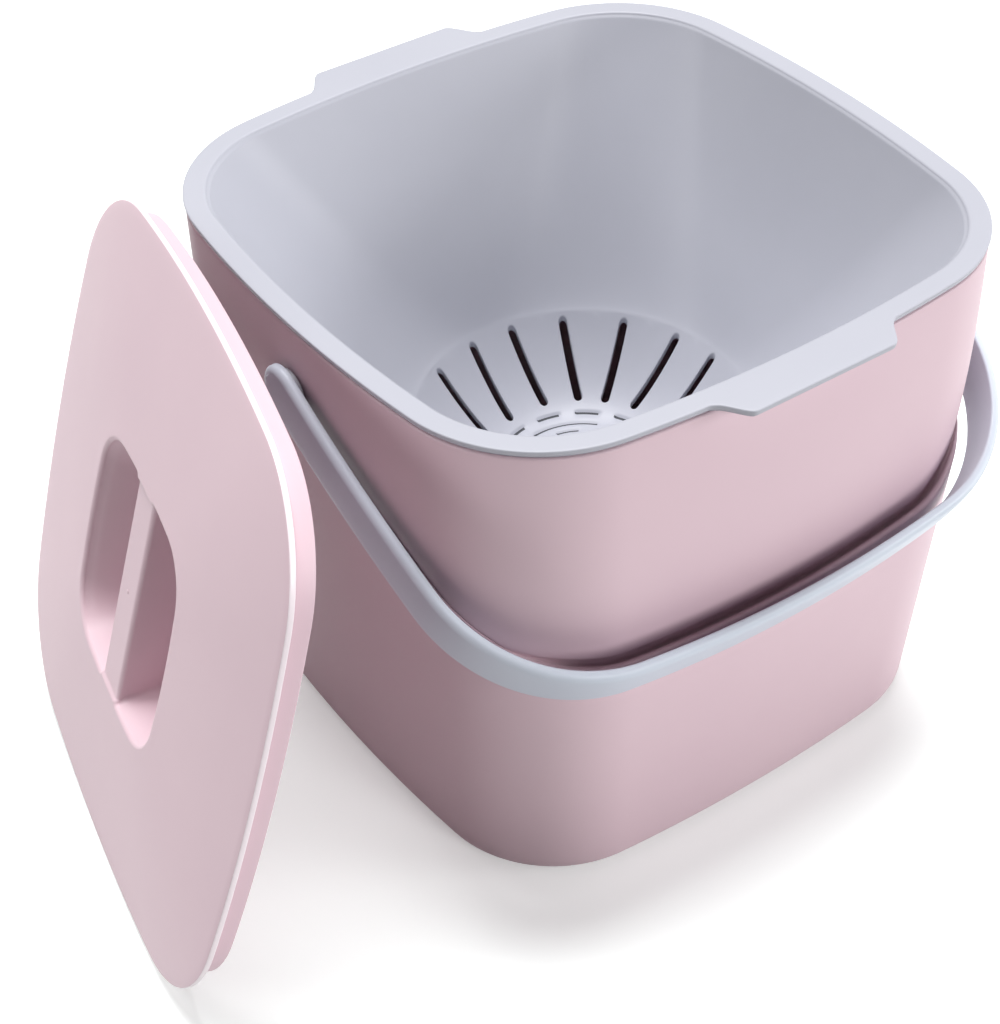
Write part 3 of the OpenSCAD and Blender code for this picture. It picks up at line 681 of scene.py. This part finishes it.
    # part 1, the plate's rounded edge, takes the paler edge material: a painted highlight
    for part, rows in ((0, dome + edge[:3]), (1, edge[2:10]), (0, edge[9:] + under)):
        shell.grid([level(ringOf(t, grow), z) for t, grow, z in rows], flip=True, part=part)
    turn = np.linspace(0, 2 * math.pi, 24, endpoint=False)
    disc = np.column_stack([np.cos(turn), np.sin(turn)])
    shell.grid([level(r * disc, barZ + z) for r, z in s["pip"]], flip=True)
    return shell


addPiece("lidCover", lidShell(lidSize), [pinkLid, paintedHighlightEdge], "lid", ["lid_cover"], lidPlace)


def plugShell(s):
    # a skirt inside the plate's edge: outer and inner outline joined by rounded lower edges
    dims = [s["plugW"] / 2, s["plugL"] / 2, s["bow"], s["plugR"]]
    ang = outlineAngles(*dims, sideSteps, cornerSteps)
    line = outlineAt(ang, *dims)
    out = np.column_stack([np.cos(ang), np.sin(ang)])
    f, lowZ = s["plugSoft"], -s["plugH"]
    prof = [(0.0, mix(-s["edge"], lowZ + f, k)) for k in (0, 0.3, 0.7, 1)]
    prof += [(f * inset, lowZ + f * rise) for inset, rise in rounding(15, 90, 6)]
    prof += [(s["wall"] - f * inset, lowZ + f * rise) for inset, rise in rounding(90, 0, 7)]
    prof += [(s["wall"], -s["edge"]), (0.0, -s["edge"])]
    shell = Shell()
    shell.grid([level(line - inset * out, z) for inset, z in prof], flip=True)
    return shell


addPiece("lidPlug", plugShell(lidSize), [pinkLid], "lid", ["lid_plug"], lidPlace)
print("lid made")


# light comes from far off, so each lamp is a direction, a power and a spread in degrees
stageLook = {"floor": "#eff4f2", "bounce": "#aeaeae", "floorSize": 12.0, "world": 0.0, "lift": 0.34}
lamps = {"topSoftbox": {"from": (0.14, 0.2, 0.97), "power": 3.8, "spread": 30.0},
         "backLeftKey": {"from": (-0.42, 0.52, 0.74), "power": 0.54, "spread": 22.0},
         "rightFill": {"from": (0.75, -0.62, 0.15), "power": 1.45, "spread": 20.0},
         "frontFill": {"from": (0.18, -0.93, 0.32), "power": 1.15, "spread": 20.0},
         "leftFill": {"from": (-0.85, 0.3, 0.42), "power": 0.72, "spread": 18.0}}


def seenRays(tree):  # 1 for camera, glossy and transmission rays: the greatest of the three
    path = addNode(tree, "ShaderNodeLightPath").outputs
    direct = addNode(tree, "ShaderNodeMath", {"operation": "MAXIMUM"},
                     {0: path["Is Camera Ray"], 1: path["Is Glossy Ray"]}).outputs[0]
    return addNode(tree, "ShaderNodeMath", {"operation": "MAXIMUM"},
                   {0: direct, 1: path["Is Transmission Ray"]}).outputs[0]


def floorMaterial(look):
    # pale matte board: the camera sees the lit board plus a plain lift, so it clears to white where
    # no shadow falls, and the object gets only a soft grey bounce from it
    mat = bpy.data.materials.new("paleStudioBoardMatte")
    mat.use_nodes = True
    tree = mat.node_tree
    tree.nodes.clear()
    board = addNode(tree, "ShaderNodeBsdfDiffuse", {"Color": toLinear(look["floor"])})
    bounce = addNode(tree, "ShaderNodeBsdfDiffuse", {"Color": toLinear(look["bounce"])})
    glow = addNode(tree, "ShaderNodeEmission", {"Color": (1, 1, 1, 1), "Strength": look["lift"]})
    both = addNode(tree, "ShaderNodeAddShader", links={0: board.outputs[0], 1: glow.outputs[0]})
    out = addNode(tree, "ShaderNodeMixShader", links={0: seenRays(tree), 1: bounce.outputs[0],
                                                      2: both.outputs[0]})
    addNode(tree, "ShaderNodeOutputMaterial", links={"Surface": out.outputs[0]})
    return mat


def studioWorld(look):
    # white where the camera and reflections see it, and no light of its own on the object
    world = bpy.data.worlds.new("studioWorld")
    world.use_nodes = True
    tree = world.node_tree
    tree.nodes.clear()
    soft = addNode(tree, "ShaderNodeBackground", {"Color": (1, 1, 1, 1), "Strength": look["world"]})
    white = addNode(tree, "ShaderNodeBackground", {"Color": (1, 1, 1, 1), "Strength": 1.0})
    out = addNode(tree, "ShaderNodeMixShader", links={0: seenRays(tree), 1: soft.outputs[0],
                                                      2: white.outputs[0]})
    addNode(tree, "ShaderNodeOutputWorld", links={"Surface": out.outputs[0]})
    return world


floorMesh = bpy.data.meshes.new("studioFloor")
half = stageLook["floorSize"] / 2
floorMesh.from_pydata([(-half, -half, 0), (half, -half, 0), (half, half, 0), (-half, half, 0)], [],
                      [(0, 1, 2, 3)])
floorMesh.materials.append(floorMaterial(stageLook))
studioFloor = bpy.data.objects.new("studioFloor", floorMesh)
bpy.context.scene.collection.objects.link(studioFloor)
bpy.context.scene.world = studioWorld(stageLook)
for lampName, lamp in lamps.items():
    lampData = bpy.data.lights.new(lampName, "SUN")
    lampData.energy, lampData.angle = lamp["power"], math.radians(lamp["spread"])
    lampObject = bpy.data.objects.new(lampName, lampData)
    lampObject.rotation_euler = Vector(lamp["from"]).to_track_quat("Z", "Y").to_euler()
    bpy.context.scene.collection.objects.link(lampObject)

view = {"place": (-0.3650, -0.4868, 0.5837), "back": (-0.4501, -0.6003, 0.6611), "lens": 81.5,
        "sensor": 36.0, "shift": (-0.0833, 0.0232)}
cameraData = bpy.data.cameras.new("productCamera")
cameraData.lens, cameraData.sensor_width, cameraData.sensor_fit = view["lens"], view["sensor"], "HORIZONTAL"
cameraData.shift_x, cameraData.shift_y = view["shift"]
camera = bpy.data.objects.new("productCamera", cameraData)
camera.rotation_euler = Vector(view["back"]).to_track_quat("Z", "Y").to_euler()
camera.location = view["place"]
bpy.context.scene.collection.objects.link(camera)
bpy.context.scene.camera = camera
bpy.context.scene.view_settings.view_transform = "Standard"
print("stage made")
